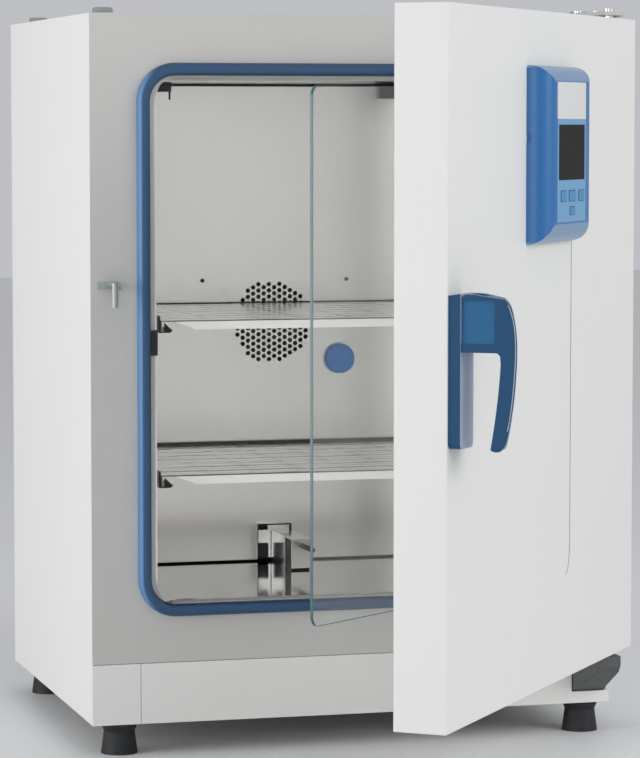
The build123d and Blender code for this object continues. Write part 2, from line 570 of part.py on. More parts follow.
bushes = []
for low, high in ((DOOR_BOTTOM, DOOR_BOTTOM + 26), (DOOR_TOP - 26, DOOR_TOP)):
    bush = upright(*HINGE, low, high, BUSH_RADIUS)
    bush -= upright(*HINGE, low - 1, high + 1, PIN_RADIUS + RUNNING_CLEARANCE)
    bushes.append(bush)
save("door_hinge_bushes", swung(group(bushes)))

# ---- handle and latch ---------------------------------------------------------------------------
PLATE_FACE = DOOR_OUTER - 13.0
LUG_HALF = 6.0
PIN_ENDS = (-312.0, -283.0)
handle_middle = (HANDLE_LEFT + HANDLE_RIGHT) / 2
pivot_y, pivot_z = HANDLE_PIVOT
handle_plate = slab(HANDLE_LEFT, HANDLE_RIGHT, HANDLE_BOTTOM, HANDLE_TOP, PLATE_FACE, DOOR_OUTER, 6.0)
handle_plate += side_profile(
    [(DOOR_OUTER, HANDLE_TOP - 8), (DOOR_OUTER, HANDLE_TOP), (PLATE_FACE, HANDLE_TOP + 2), (PLATE_FACE, HANDLE_TOP - 8)],
    HANDLE_LEFT, HANDLE_RIGHT,
)
lug_points = [(PLATE_FACE, 532.0), (PLATE_FACE - 19, 537.0), (PLATE_FACE - 19, 556.0), (PLATE_FACE, 556.0)]
handle_plate += side_profile(lug_points, handle_middle - LUG_HALF, handle_middle + LUG_HALF)
handle_plate -= along_x(pivot_y, pivot_z, *PIN_ENDS, PIN)
save("handle_plate", swung(handle_plate))

# The lever: a deep arm at the top and a crescent grip that hangs free from it, drawn in Y and Z.
# The grip's outer face leans back from the latch side towards the hinge side.
LEVER_ENDS = (HANDLE_LEFT + 1.5, HANDLE_RIGHT - 1.5)
ARM_BACK = PLATE_FACE - 0.4
ARM_BOTTOM = 499.7
crescent = [
    (-82.5, 554.0), (-88.8, 548.5), (-93.4, 536.8), (-96.6, 516.5), (-97.1, 499.0), (-96.2, 480.0), (-93.0, 446.0),
    (-88.8, 421.4), (-84.0, 406.0), (-79.8, 400.6),
]
LEAN = [12.0, 12.5, 12.8, 12.8, 12.5, 12.1, 11.8, 11.2, 9.6, 7.2]
inner_edge = [(-69.0, 401.6), (-71.0, 413.3), (-75.2, 441.6), (-77.9, 466.0), (-79.6, 488.0)]


def side_plane(x):
    return Plane(origin=(x, 0, 0), x_dir=(0, 1, 0), z_dir=(1, 0, 0))


def lever_outline(x, lean):
    outer = [(y + shift * lean, z) for (y, z), shift in zip(crescent, LEAN)]
    tip = [outer[-1], ((outer[-1][0] + inner_edge[0][0]) / 2, 399.6), inner_edge[0]]
    arm = [
        inner_edge[-1], (-79.0, ARM_BOTTOM - 3), (-76.0, ARM_BOTTOM), (ARM_BACK, ARM_BOTTOM), (ARM_BACK, 545.0),
        (-41.0, 558.5), (-51.0, 558.0), outer[0],
    ]
    return side_plane(x) * make_face([Spline(*outer), Spline(*tip), Spline(*inner_edge), Polyline(*arm)])


lever = loft([lever_outline(LEVER_ENDS[0], 0), lever_outline(LEVER_ENDS[1], 1)], ruled=True)
lever -= block(
    handle_middle - LUG_HALF - 1, handle_middle + LUG_HALF + 1, PLATE_FACE - 23, PLATE_FACE, 524.0, 562.0
)
lever -= along_x(pivot_y, pivot_z, PIN_ENDS[0] - 0.1, PIN_ENDS[1] + 0.1, PIN + RUNNING_CLEARANCE)
RECESS = 1.5
recess_outline = Pos(-51.5, 530.2) * RectangleRounded(43.0, 44.5, 4.0)
lever -= extrude(side_plane(LEVER_ENDS[0] - 1) * recess_outline, amount=RECESS + 1)
INLAY_EDGES = (1.1, 2.1)
near, far = [[(y + inset, z) for y, z in crescent[1:-2]] for inset in INLAY_EDGES]
strip_edges = [Spline(*near), Line(near[-1], far[-1]), Spline(*far), Line(far[0], near[0])]
inlay = extrude(side_plane(LEVER_ENDS[0] - 0.15) * make_face(strip_edges), amount=1.0)
save("handle_lever", swung(lever - inlay))
save("handle_inlay", swung(inlay))

# A claw that reaches back through the slot in the door and behind the striker's bar.
hook_points = [
    (-280.0, -12.0), (-270.0, -12.0), (-270.0, -4.0), (-278.5, 2.0), (-281.0, 30.0), (-301.0, 30.0), (-301.0, 25.2),
    (-288.0, 25.2), (-286.5, 2.0), (-280.0, -4.0),
]
hook = prism(hook_points, LATCH_LEVEL - 3.5, LATCH_LEVEL + 3.5)
hook -= upright(*LATCH_PIVOT, LATCH_LEVEL - 5, LATCH_LEVEL + 5, 2.5 + RUNNING_CLEARANCE)
save("latch_hook", swung(hook))
handle_pin = along_x(pivot_y, pivot_z, *PIN_ENDS, PIN)
latch_pin = upright(*LATCH_PIVOT, LATCH_LEVEL - 12, LATCH_LEVEL + 12, 2.5)
latch_bracket = block(-283.0, -267.0, DOOR_OUTER + CASING, -1.0, LATCH_LEVEL - 14, LATCH_LEVEL - 11)
latch_bracket += block(-283.0, -267.0, DOOR_OUTER + CASING, -1.0, LATCH_LEVEL + 11, LATCH_LEVEL + 14)
save("latch_pins", swung(group([handle_pin, latch_pin + latch_bracket])))

# ---- control panel on the door ------------------------------------------------------------------
FACE_Y = DOOR_OUTER - PANEL_DEPTH
LEFT_CURVE = PANEL_HALF + PANEL_FACE_LEFT
RIGHT_CURVE = PANEL_HALF - PANEL_FACE_RIGHT
plan_edges = [
    Line((-PANEL_HALF, DOOR_OUTER), (PANEL_HALF, DOOR_OUTER)),
    EllipticalCenterArc((PANEL_FACE_RIGHT, DOOR_OUTER), RIGHT_CURVE, PANEL_DEPTH, start_angle=-90, arc_size=90),
    Line((PANEL_FACE_RIGHT, FACE_Y), (PANEL_FACE_LEFT, FACE_Y)),
    EllipticalCenterArc((PANEL_FACE_LEFT, DOOR_OUTER), LEFT_CURVE, PANEL_DEPTH, start_angle=180, arc_size=90),
]
housing = extrude(Pos(0, 0, PANEL_BOTTOM) * make_face(plan_edges), amount=PANEL_TOP - PANEL_BOTTOM)
ends = [
    Line((DOOR_OUTER, PANEL_TOP), (DOOR_OUTER, PANEL_BOTTOM)),
    ThreePointArc((DOOR_OUTER, PANEL_BOTTOM), (DOOR_OUTER - 17.5, PANEL_BOTTOM + 6.5), (FACE_Y, PANEL_FACE_BOTTOM)),
    Line((FACE_Y, PANEL_FACE_BOTTOM), (FACE_Y, PANEL_FACE_TOP)),
    ThreePointArc((FACE_Y, PANEL_FACE_TOP), (DOOR_OUTER - 17.5, PANEL_TOP - 4.6), (DOOR_OUTER, PANEL_TOP)),
]
housing &= extrude(side_plane(-PANEL_HALF - 1) * make_face(ends), amount=2 * PANEL_HALF + 2)
housing &= slab(-PANEL_HALF, PANEL_HALF + 30, PANEL_BOTTOM, PANEL_TOP, FACE_Y - 1, DOOR_OUTER + 1, 4.0)
housing &= slab(-PANEL_HALF - 30, PANEL_HALF, PANEL_BOTTOM, PANEL_TOP, FACE_Y - 1, DOOR_OUTER + 1, 9.0)
housing -= block(-PANEL_HALF - 1, -PANEL_HALF + 1.6, DOOR_OUTER - 5, DOOR_OUTER + 1, 711.0, 720.0)
housing -= slab(-49, 53, PANEL_FACE_BOTTOM + 4, PANEL_FACE_TOP - 4, FACE_Y + 3, DOOR_OUTER + 1, 3)
DISPLAY = (-46.5, 43.0, 669.0, 729.0)
BUTTON_SIZES = {
    "left": (-39.7, -20.4, 645.5, 657.8),
    "middle": (-11.9, 11.5, 645.5, 657.8),
    "right": (21.6, 41.5, 645.5, 657.8),
    "lower": (-8.1, 9.6, 630.4, 640.0),
}
housing -= block(*DISPLAY[:2], FACE_Y - 1, FACE_Y + 4, *DISPLAY[2:])
for x0, x1, z0, z1 in BUTTON_SIZES.values():
    housing -= block(x0, x1, FACE_Y - 1, FACE_Y + 4, z0, z1)
save("panel_housing", swung(housing))

OVERLAY = 0.6
overlay = slab(-51.0, 47.0, PANEL_FACE_BOTTOM + 1, PANEL_FACE_TOP - 1, FACE_Y - OVERLAY, FACE_Y, 1.0)
overlay -= block(*DISPLAY[:2], FACE_Y - 5, FACE_Y + 4, *DISPLAY[2:])
for x0, x1, z0, z1 in BUTTON_SIZES.values():
    overlay -= block(x0, x1, FACE_Y - 5, FACE_Y + 4, z0, z1)
save("panel_overlay", swung(overlay))

window = block(DISPLAY[0] + 0.2, DISPLAY[1] - 0.2, FACE_Y - OVERLAY - 0.1, FACE_Y + 2, DISPLAY[2] + 0.2, DISPLAY[3] - 0.2)
save("display_window", swung(window))
for name, (x0, x1, z0, z1) in BUTTON_SIZES.items():
    cap = slab(x0 + 0.5, x1 - 0.5, z0 + 0.5, z1 - 0.5, FACE_Y - OVERLAY - 0.8, FACE_Y + 2.6, 1.5)
    save(f"button_{name}", swung(cap))
circuit = block(-45, 50, FACE_Y + 8, FACE_Y + 9.6, PANEL_FACE_BOTTOM + 5, PANEL_FACE_TOP - 5)
for x0, x1, z0, z1 in BUTTON_SIZES.values():
    circuit += block((x0 + x1) / 2 - 3, (x0 + x1) / 2 + 3, FACE_Y + 3.8, FACE_Y + 8, (z0 + z1) / 2 - 3, (z0 + z1) / 2 + 3)
save("control_board", swung(circuit))

print("nodes:", len(os.listdir("parts")))
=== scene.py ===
import json
import math
import bmesh
import bpy
from mathutils import Matrix, Vector


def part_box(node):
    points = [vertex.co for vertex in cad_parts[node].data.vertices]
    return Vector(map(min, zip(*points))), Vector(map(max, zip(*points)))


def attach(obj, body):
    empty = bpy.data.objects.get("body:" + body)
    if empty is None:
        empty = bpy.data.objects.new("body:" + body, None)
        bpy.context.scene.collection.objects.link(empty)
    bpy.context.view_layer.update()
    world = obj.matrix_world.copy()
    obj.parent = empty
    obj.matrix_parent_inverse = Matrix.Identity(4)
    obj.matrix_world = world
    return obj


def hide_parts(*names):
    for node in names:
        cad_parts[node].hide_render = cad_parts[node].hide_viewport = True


# Laboratory incubator: materials, seal, glass, door trim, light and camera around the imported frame.
# Metres, Z up, front towards -Y.  Door pieces are drawn with the door shut and then swung to rest.

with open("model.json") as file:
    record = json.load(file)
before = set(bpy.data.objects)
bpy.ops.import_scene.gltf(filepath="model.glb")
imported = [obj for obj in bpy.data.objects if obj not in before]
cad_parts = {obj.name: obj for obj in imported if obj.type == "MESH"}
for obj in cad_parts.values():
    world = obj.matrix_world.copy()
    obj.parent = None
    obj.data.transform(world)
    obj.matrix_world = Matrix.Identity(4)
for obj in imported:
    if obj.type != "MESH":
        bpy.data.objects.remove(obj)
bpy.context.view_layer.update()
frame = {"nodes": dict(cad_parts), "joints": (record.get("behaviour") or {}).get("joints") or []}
NODES = frame["nodes"]
JOINTS = {joint["name"]: joint for joint in frame["joints"]}
DOOR_AXIS = Vector(JOINTS["door_hinge"]["pos_m"])
DOOR_REST = math.radians(-JOINTS["door_hinge"]["range_deg"][0])
GLASS_AXIS = Vector(JOINTS["glass_door_hinge"]["pos_m"])
GLASS_REST = math.radians(38.8)  # how far the pane stands open at rest
DOOR_ACROSS = Vector((math.cos(DOOR_REST), math.sin(DOOR_REST), 0.0))
DOOR_OUTWARD = Vector((math.sin(DOOR_REST), -math.cos(DOOR_REST), 0.0))
MM = 0.001
WELD_GAP = 1e-6


# ---- mesh helpers -------------------------------------------------------------------------------
def turn(axis_point, angle):
    """The move that swings a piece about an upright axis."""
    away = Matrix.Translation(axis_point)
    return away @ Matrix.Rotation(angle, 4, "Z") @ away.inverted()


DOOR_SWING = turn(DOOR_AXIS, DOOR_REST)
GLASS_SWING = turn(GLASS_AXIS, GLASS_REST)


def mesh_object(name, points, faces, materials, indices=None, move=None, smooth=True):
    """A mesh from points in metres, in place in the row frame."""
    mesh = bpy.data.meshes.new(name)
    mesh.from_pydata([tuple(p) for p in points], [], faces)
    for material in materials:
        mesh.materials.append(material)
    for polygon in mesh.polygons:
        polygon.use_smooth = smooth
        if indices:
            polygon.material_index = indices[polygon.index]
    if move is not None:
        mesh.transform(move)
    tidy = bmesh.new()
    tidy.from_mesh(mesh)
    bmesh.ops.recalc_face_normals(tidy, faces=tidy.faces)
    tidy.to_mesh(mesh)
    tidy.free()
    made = bpy.data.objects.new(name, mesh)
    bpy.context.scene.collection.objects.link(made)
    return made


def rounded_outline(half_x, low_z, high_z, radius, steps=10, centre_x=0.0):
    """Points round a rectangle with round corners, anticlockwise from the lower right."""
    points = []
    corners = (
        (centre_x + half_x - radius, low_z + radius, -90),
        (centre_x + half_x - radius, high_z - radius, 0),
        (centre_x - half_x + radius, high_z - radius, 90),
        (centre_x - half_x + radius, low_z + radius, 180),
    )
    for x, z, start in corners:
        for step in range(steps + 1):
            angle = math.radians(start + 90 * step / steps)
            points.append((x + radius * math.cos(angle), z + radius * math.sin(angle)))
    return points


def soften(node, width):
    """Rounds a CAD piece's sharp edges for the eye, without touching its mesh."""
    weld = node.modifiers.new("weld", "WELD")
    weld.merge_threshold = WELD_GAP
    bevel = node.modifiers.new("bevel", "BEVEL")
    bevel.width = width
    bevel.segments = 2
    bevel.limit_method = "ANGLE"
    bevel.angle_limit = math.radians(35)
    normals = node.modifiers.new("normals", "WEIGHTED_NORMAL")
    normals.keep_sharp = True


# ---- material helpers ---------------------------------------------------------------------------
def srgb(red, green, blue):
    """A screen colour as Blender's linear colour."""
    def linear(value):
        return value / 12.92 if value <= 0.04045 else ((value + 0.055) / 1.055) ** 2.4
    return (linear(red), linear(green), linear(blue), 1.0)


class Surface:
    """A node material around one Principled shader."""

    def __init__(self, name, colour, roughness, metallic=0.0):
        self.material = bpy.data.materials.new(name)
        self.material.use_nodes = True
        self.tree = self.material.node_tree
        self.shader = self.tree.nodes["Principled BSDF"]
        self.shader.inputs["Base Color"].default_value = colour
        self.shader.inputs["Roughness"].default_value = roughness
        self.shader.inputs["Metallic"].default_value = metallic
        self.colour = colour
        self.roughness = roughness
        self.place = self.tree.nodes.new("ShaderNodeTexCoord").outputs["Object"]

    def node(self, kind, **values):
        made = self.tree.nodes.new(kind)
        for key, value in values.items():
            setattr(made, key, value)
        return made

    def link(self, source, target):
        self.tree.links.new(source, target)

    def noise(self, scale, detail=3.0, stretch=(1, 1, 1)):
        """Noise over the piece, at a scale in cycles per metre."""
        mapping = self.node("ShaderNodeMapping")
        mapping.inputs["Scale"].default_value = stretch
        self.link(self.place, mapping.inputs["Vector"])
        noise = self.node("ShaderNodeTexNoise")
        noise.inputs["Scale"].default_value = scale
        noise.inputs["Detail"].default_value = detail
        self.link(mapping.outputs["Vector"], noise.inputs["Vector"])
        return noise.outputs["Fac"]

    def mottle(self, amount, scale=7.0, stretch=(1, 1, 1)):
        """Slightly lighter and darker patches in the colour."""
        mix = self.node("ShaderNodeMix", data_type="RGBA")
        low = [c * (1 - amount) for c in self.colour[:3]]
        high = [min(1.0, c * (1 + amount)) for c in self.colour[:3]]
        mix.inputs["A"].default_value = (*low, 1)
        mix.inputs["B"].default_value = (*high, 1)
        self.link(self.noise(scale, stretch=stretch), mix.inputs["Factor"])
        self.link(mix.outputs["Result"], self.shader.inputs["Base Color"])
        return self

    def worn(self, amount, scale=40.0, stretch=(1, 1, 1)):
        """Roughness that varies by an amount either way."""
        span = self.node("ShaderNodeMapRange")
        span.inputs["To Min"].default_value = max(0.02, self.roughness - amount)
        span.inputs["To Max"].default_value = min(1.0, self.roughness + amount)
        self.link(self.noise(scale, stretch=stretch), span.inputs["Value"])
        self.link(span.outputs["Result"], self.shader.inputs["Roughness"])
        return self

    def grain(self, strength, scale, distance=0.0002, stretch=(1, 1, 1), detail=2.0):
        """Fine relief."""
        bump = self.node("ShaderNodeBump")
        bump.inputs["Strength"].default_value = strength
        bump.inputs["Distance"].default_value = distance
        self.link(self.noise(scale, detail, stretch), bump.inputs["Height"])
        self.link(bump.outputs["Normal"], self.shader.inputs["Normal"])
        return self

    def axis(self, name):
        split = self.node("ShaderNodeSeparateXYZ")
        self.link(self.place, split.inputs["Vector"])
        return split.outputs[name]

    def along(self, vector, direction):
        """The length of a vector along a direction."""
        dot = self.node("ShaderNodeVectorMath", operation="DOT_PRODUCT")
        dot.inputs[1].default_value = direction
        self.link(vector, dot.inputs[0])
        return dot.outputs["Value"]

    def above(self, value, limit):
        """1 where the value is above the limit."""
        test = self.node("ShaderNodeMath", operation="GREATER_THAN")
        test.inputs[1].default_value = limit
        self.link(value, test.inputs[0])
        return test.outputs[0]


def powder_coat(name, colour, roughness=0.42):
    coat = Surface(name, colour, roughness)
    coat.mottle(0.012, 5.0).worn(0.04, 60.0).grain(0.06, 1400.0, 0.00012)
    coat.shader.inputs["Specular IOR Level"].default_value = 0.45
    return coat.material


def rolled_steel(name, colour, roughness, stretch, worn=0.04, waviness=0.02, metallic=1.0):
    """Sheet steel. The stretch draws its streaks out along one axis; waviness 0 leaves it flat."""
    steel = Surface(name, colour, roughness, metallic)
    steel.mottle(0.03, 9.0, stretch).worn(worn, 30.0, stretch)
    if waviness > 0:
        steel.grain(waviness, 240.0, 0.0002, stretch)
    return steel.material


SHELF_FRONT_EDGE = 68.3 * MM
SHELF_REAR_EDGE = 420.8 * MM
SHEET_EDGE = 1.1  # mm


def shelf_steel(name, colour, level):
    """Bright sheet with painted reflections and painted shade: dark wavy lines on its top stand for
    reflections of its slots, a dark band on its front fold is a painted dark reflection, and a dark band
    at the rear stop is painted shadow from the gap behind it.

    The level is the height of the sheet's top, in mm.
    """
    steel = Surface(name, colour, 0.20)
    steel.worn(0.04, 30.0, ALONG_X)
    # painted reflection: dark wavy bands over the top stand for reflections of the slots
    painted_reflection_wave = steel.node("ShaderNodeTexWave", wave_type="BANDS", bands_direction="Y", wave_profile="SIN")
    painted_reflection_wave.inputs["Scale"].default_value = 7.0
    painted_reflection_wave.inputs["Distortion"].default_value = 2.2
    painted_reflection_wave.inputs["Detail"].default_value = 2.0
    painted_reflection_wave.inputs["Detail Scale"].default_value = 3.0
    steel.link(steel.place, painted_reflection_wave.inputs["Vector"])
    up = steel.above(steel.along(steel.node("ShaderNodeTexCoord").outputs["Normal"], (0, 0, 1)), 0.9)
    shine = steel.node("ShaderNodeMapRange")
    shine.inputs["To Min"].default_value = 0.40
    shine.inputs["To Max"].default_value = 0.95
    steel.link(up, shine.inputs["Value"])
    steel.link(shine.outputs["Result"], steel.shader.inputs["Metallic"])
    # painted reflection mask: the dark lines fall only on faces that look up
    line = steel.node("ShaderNodeMath", operation="MULTIPLY")
    steel.link(steel.above(painted_reflection_wave.outputs["Fac"], 0.91), line.inputs[0])
    steel.link(up, line.inputs[1])
    along, height = steel.axis("Y"), steel.axis("Z")
    # painted dark reflection along the front fold of the top sheet
    painted_front_fold_shade = steel.node("ShaderNodeMath", operation="MULTIPLY")
    front = steel.node("ShaderNodeMath", operation="LESS_THAN")
    front.inputs[1].default_value = SHELF_FRONT_EDGE
    steel.link(along, front.inputs[0])
    steel.link(front.outputs[0], painted_front_fold_shade.inputs[0])
    steel.link(steel.above(height, (level - SHEET_EDGE) * MM), painted_front_fold_shade.inputs[1])
    # painted shade: the front fold band joined with the painted shadow at the rear stop
    edge = steel.node("ShaderNodeMath", operation="MAXIMUM")
    steel.link(painted_front_fold_shade.outputs[0], edge.inputs[0])
    steel.link(steel.above(along, SHELF_REAR_EDGE), edge.inputs[1])
    # all of the shelf's painted reflection and painted shade, mixed towards near black below
    dark = steel.node("ShaderNodeMath", operation="MAXIMUM")
    steel.link(line.outputs[0], dark.inputs[0])
    steel.link(edge.outputs[0], dark.inputs[1])
    mix = steel.node("ShaderNodeMix", data_type="RGBA")
    mix.inputs["A"].default_value = colour
    mix.inputs["B"].default_value = (0.07, 0.07, 0.07, 1)
    steel.link(dark.outputs[0], mix.inputs["Factor"])
    steel.link(mix.outputs["Result"], steel.shader.inputs["Base Color"])
    return steel.material


def runner_steel(name, colour, end):
    """Satin sheet with painted shade: its front part, short of the given end depth, is painted near black.
    """
    steel = Surface(name, colour, 0.32, 0.8)
    # painted shade: near black ahead of the end depth, for the shadow inside the runner's curled front
    mix = steel.node("ShaderNodeMix", data_type="RGBA")
    mix.inputs["A"].default_value = (0.03, 0.03, 0.03, 1)
    mix.inputs["B"].default_value = colour
    steel.link(steel.above(steel.axis("Y"), end), mix.inputs["Factor"])
    steel.link(mix.outputs["Result"], steel.shader.inputs["Base Color"])
    return steel.material


def moulded(name, colour, roughness, grain=0.12, coat=0.0):
    plastic = Surface(name, colour, roughness)
    plastic.mottle(0.03, 12.0).worn(0.05, 90.0).grain(grain, 2600.0, 0.0001)
    plastic.shader.inputs["Coat Weight"].default_value = coat
    plastic.shader.inputs["Coat Roughness"].default_value = 0.12
    return plastic.material


def rubber(name, colour, roughness=0.62):
    soft = Surface(name, colour, roughness)
    soft.mottle(0.06, 18.0).worn(0.06, 120.0).grain(0.15, 1800.0, 0.00015)
    return soft.material


def seal_rubber(name, colour, lit):
    """The seal's rubber with painted light: paler where its slope looks towards the left, for the light
    from that side.
    """
    soft = Surface(name, colour, 0.5)
    soft.worn(0.06, 120.0).grain(0.12, 1800.0, 0.00015)
    # painted light: the lit tone rises as the slope turns to the left
    left = soft.along(soft.node("ShaderNodeTexCoord").outputs["Normal"], (-1, 0, 0))
    span = soft.node("ShaderNodeMapRange", interpolation_type="SMOOTHSTEP")
    span.inputs["From Min"].default_value = 0.40
    span.inputs["From Max"].default_value = 0.85
    soft.link(left, span.inputs["Value"])
    mix = soft.node("ShaderNodeMix", data_type="RGBA")
    mix.inputs["A"].default_value = colour
    mix.inputs["B"].default_value = lit
    soft.link(span.outputs["Result"], mix.inputs["Factor"])
    soft.link(mix.outputs["Result"], soft.shader.inputs["Base Color"])
    return soft.material


def wool(name, colour):
    fibre = Surface(name, colour, 0.95)
    fibre.mottle(0.18, 90.0).grain(0.6, 700.0, 0.0008, detail=6.0)
    return fibre.material


def panel_blue(name, side, painted_facet_light):
    """The panel's moulding with painted light: its sloped ends are painted paler than its sides, for the
    light they catch.
    """
    plastic = Surface(name, side, 0.34)
    plastic.worn(0.05, 80.0).grain(0.05, 2600.0, 0.0001)
    normal = plastic.node("ShaderNodeNewGeometry").outputs["Normal"]
    split = plastic.node("ShaderNodeSeparateXYZ")
    plastic.link(normal, split.inputs["Vector"])
    size = plastic.node("ShaderNodeMath", operation="ABSOLUTE")
    plastic.link(split.outputs["Z"], size.inputs[0])
    # painted light: faces that tilt up or down take the paler tone
    mix = plastic.node("ShaderNodeMix", data_type="RGBA")
    mix.inputs["A"].default_value = side
    mix.inputs["B"].default_value = painted_facet_light
    plastic.link(plastic.above(size.outputs[0], 0.2), mix.inputs["Factor"])
    plastic.link(mix.outputs["Result"], plastic.shader.inputs["Base Color"])
    plastic.shader.inputs["Coat Weight"].default_value = 0.25
    plastic.shader.inputs["Coat Roughness"].default_value = 0.15
    return plastic.material


def handle_plastic(name, colour, recess, painted_outward_highlight):
    """The handle's moulding with painted light: paler in the recess of its side, and a painted highlight
    on the face that looks outwards.
    """
    plastic = Surface(name, colour, 0.36)
    plastic.worn(0.05, 90.0).grain(0.08, 2600.0, 0.0001)
    normal = plastic.node("ShaderNodeTexCoord").outputs["Normal"]
    # painted light: the recessed side faces take the paler tone
    sunk = plastic.node("ShaderNodeMath", operation="MULTIPLY")
    depth = plastic.along(plastic.place, DOOR_ACROSS)
    plastic.link(plastic.above(depth, DOOR_AXIS.dot(DOOR_ACROSS) - RECESS_REACH), sunk.inputs[0])
    plastic.link(plastic.above(plastic.along(normal, -DOOR_ACROSS), 0.9), sunk.inputs[1])
    mix = plastic.node("ShaderNodeMix", data_type="RGBA")
    mix.inputs["A"].default_value = colour
    mix.inputs["B"].default_value = recess
    plastic.link(sunk.outputs[0], mix.inputs["Factor"])
    # painted highlight: faces looking straight outwards take a pale tone
    last = plastic.node("ShaderNodeMix", data_type="RGBA")
    last.inputs["B"].default_value = painted_outward_highlight
    plastic.link(mix.outputs["Result"], last.inputs["A"])
    plastic.link(plastic.above(plastic.along(normal, DOOR_OUTWARD), 0.97), last.inputs["Factor"])
    plastic.link(last.outputs["Result"], plastic.shader.inputs["Base Color"])
    plastic.shader.inputs["Specular IOR Level"].default_value = 0.35
    return plastic.material


def printed_film(name, ground, field, field_bottom):
    """The panel's film: a blank white field at the top and blue round the display and keys."""
    film = Surface(name, ground, 0.36)
    film.worn(0.03, 90.0).grain(0.03, 2200.0, 0.0001)
    mix = film.node("ShaderNodeMix", data_type="RGBA")
    mix.inputs["A"].default_value = ground
    mix.inputs["B"].default_value = field
    film.link(film.above(film.axis("Z"), field_bottom), mix.inputs["Factor"])
    film.link(mix.outputs["Result"], film.shader.inputs["Base Color"])
    return film.material


def pane_glass(name):
    glass = Surface(name, (0.97, 0.99, 0.985, 1.0), 0.0)
    glass.shader.inputs["Transmission Weight"].default_value = 1.0
    glass.shader.inputs["IOR"].default_value = 1.45
    glass.worn(0.005, 20.0)
    return glass.material


def studio_floor(name):
    floor = Surface(name, (0.80, 0.80, 0.80, 1), 0.55)
    floor.mottle(0.01, 2.0)
    return floor.material


FIELD_BOTTOM = 735.2 * MM
RECESS_REACH = 607.5 * MM  # from the door's hinge axis to just short of the recess's floor
EVEN = (1, 1, 1)
ALONG_X = (0.02, 1, 1)
ALONG_Y = (1, 0.02, 1)
ALONG_Z = (1, 1, 0.02)

FASCIA_GREY = powder_coat("fascia_grey", srgb(0.89, 0.89, 0.875))
# partly painted shade: a grey darker than the door's, partly the frame's own tone and partly the shade of
# the open door
CABINET_GREY_PART_SHADE = powder_coat("cabinet_grey_part_painted_shade", srgb(0.755, 0.755, 0.74))
LIGHT = powder_coat("door_light_grey", srgb(0.885, 0.885, 0.87))
DARK_GREY = powder_coat("bracket_grey", srgb(0.33, 0.34, 0.34), 0.5)
BRIGHT = rolled_steel("bright_sheet_upright", (0.93, 0.92, 0.905, 1), 0.17, EVEN, 0.02, 0.0, 0.66)
# painted shade: a darker copy of the chamber's bright sheet, for the floor and ceiling
CHAMBER_SHEET_SHADED = rolled_steel("chamber_sheet_painted_shade", (0.41, 0.40, 0.39, 1), 0.08, ALONG_X, 0.02, 0.0, 0.95)
# shelf sheets with painted reflection lines, and painted shade at their front fold and rear stop
SHELF_UPPER = shelf_steel("shelf_sheet_upper", (0.98, 0.975, 0.96, 1), 502.0)
SHELF_LOWER = shelf_steel("shelf_sheet_lower", (0.97, 0.965, 0.95, 1), 321.5)
# runner steel with painted shade on its front end
RUNNER = runner_steel("runner_sheet", (0.70, 0.70, 0.69, 1), 68.0 * MM)
INNER_PANEL = powder_coat("door_inner_light", srgb(0.93, 0.92, 0.90), 0.35)
SATIN = rolled_steel("satin_sheet", (0.60, 0.60, 0.59, 1), 0.32, ALONG_Y)
POLISHED = rolled_steel("polished_steel", (0.78, 0.78, 0.77, 1), 0.10, EVEN)
ZINC = rolled_steel("zinc_plate", (0.55, 0.55, 0.53, 1), 0.38, EVEN)
HEATED = rolled_steel("heater_sheath", (0.30, 0.27, 0.24, 1), 0.45, EVEN)
FAN_DARK = rolled_steel("fan_wheel_dark", (0.10, 0.10, 0.11, 1), 0.5, EVEN)
# seal blue with a painted lit tone on its left-facing slope
SEAL = seal_rubber("seal_blue", srgb(0.15, 0.29, 0.43), srgb(0.34, 0.52, 0.70))
STRIKER = rolled_steel("striker_steel", (0.40, 0.43, 0.42, 1), 0.5, EVEN, 0.04, 0.0, 0.7)
GUARD = rolled_steel("guard_sheet", (0.80, 0.79, 0.775, 1), 0.16, EVEN, 0.02, 0.0, 0.75)
FOOT_RUBBER = rubber("foot_rubber", srgb(0.09, 0.095, 0.105))
PAD_RUBBER = rubber("pad_rubber", srgb(0.55, 0.56, 0.56))
PLUG_BLUE = rubber("plug_blue", srgb(0.0, 0.56, 0.95), 0.6)
WOOL = wool("insulation_wool", srgb(0.78, 0.72, 0.52))
BLACK = moulded("black_plastic", srgb(0.09, 0.09, 0.10), 0.45)
# handle blue with painted light in the recess and a painted highlight on the outer face
HANDLE_BLUE = handle_plastic(
    "handle_blue", srgb(0.07, 0.27, 0.42), srgb(0.12, 0.37, 0.54), srgb(0.68, 0.73, 0.82)
)
INLAY = moulded("handle_inlay_grey", srgb(0.62, 0.66, 0.70), 0.32)
# panel blue with painted light on its sloped ends
PANEL_BLUE = panel_blue("panel_blue", srgb(0.09, 0.40, 0.64), srgb(0.42, 0.56, 0.70))
FILM = printed_film("panel_film", srgb(0.40, 0.61, 0.77), srgb(0.84, 0.84, 0.835), FIELD_BOTTOM)
KEY_BLUE = moulded("key_blue", srgb(0.27, 0.52, 0.71), 0.4)
DISPLAY = moulded("display_black", srgb(0.10, 0.10, 0.10), 0.5, 0.0, 0.0)
DISPLAY.node_tree.nodes["Principled BSDF"].inputs["Specular IOR Level"].default_value = 0.12
CIRCUIT = moulded("circuit_green", srgb(0.10, 0.35, 0.20), 0.5)
# painted shade: the rear wall behind the baffle is made dark for the shade there
PLENUM_PAINTED_SHADE = rolled_steel("plenum_wall_painted_shade", (0.20, 0.20, 0.20, 1), 0.5, ALONG_Z)
MOTOR = powder_coat("motor_grey", srgb(0.30, 0.31, 0.33), 0.45)
GLASS = pane_glass("pane_glass")
GLASS_EDGE = moulded("glass_edge_green", srgb(0.16, 0.36, 0.36), 0.2, 0.0, 0.2)
LINE_GREY = moulded("line_grey", srgb(0.45, 0.45, 0.45), 0.5)

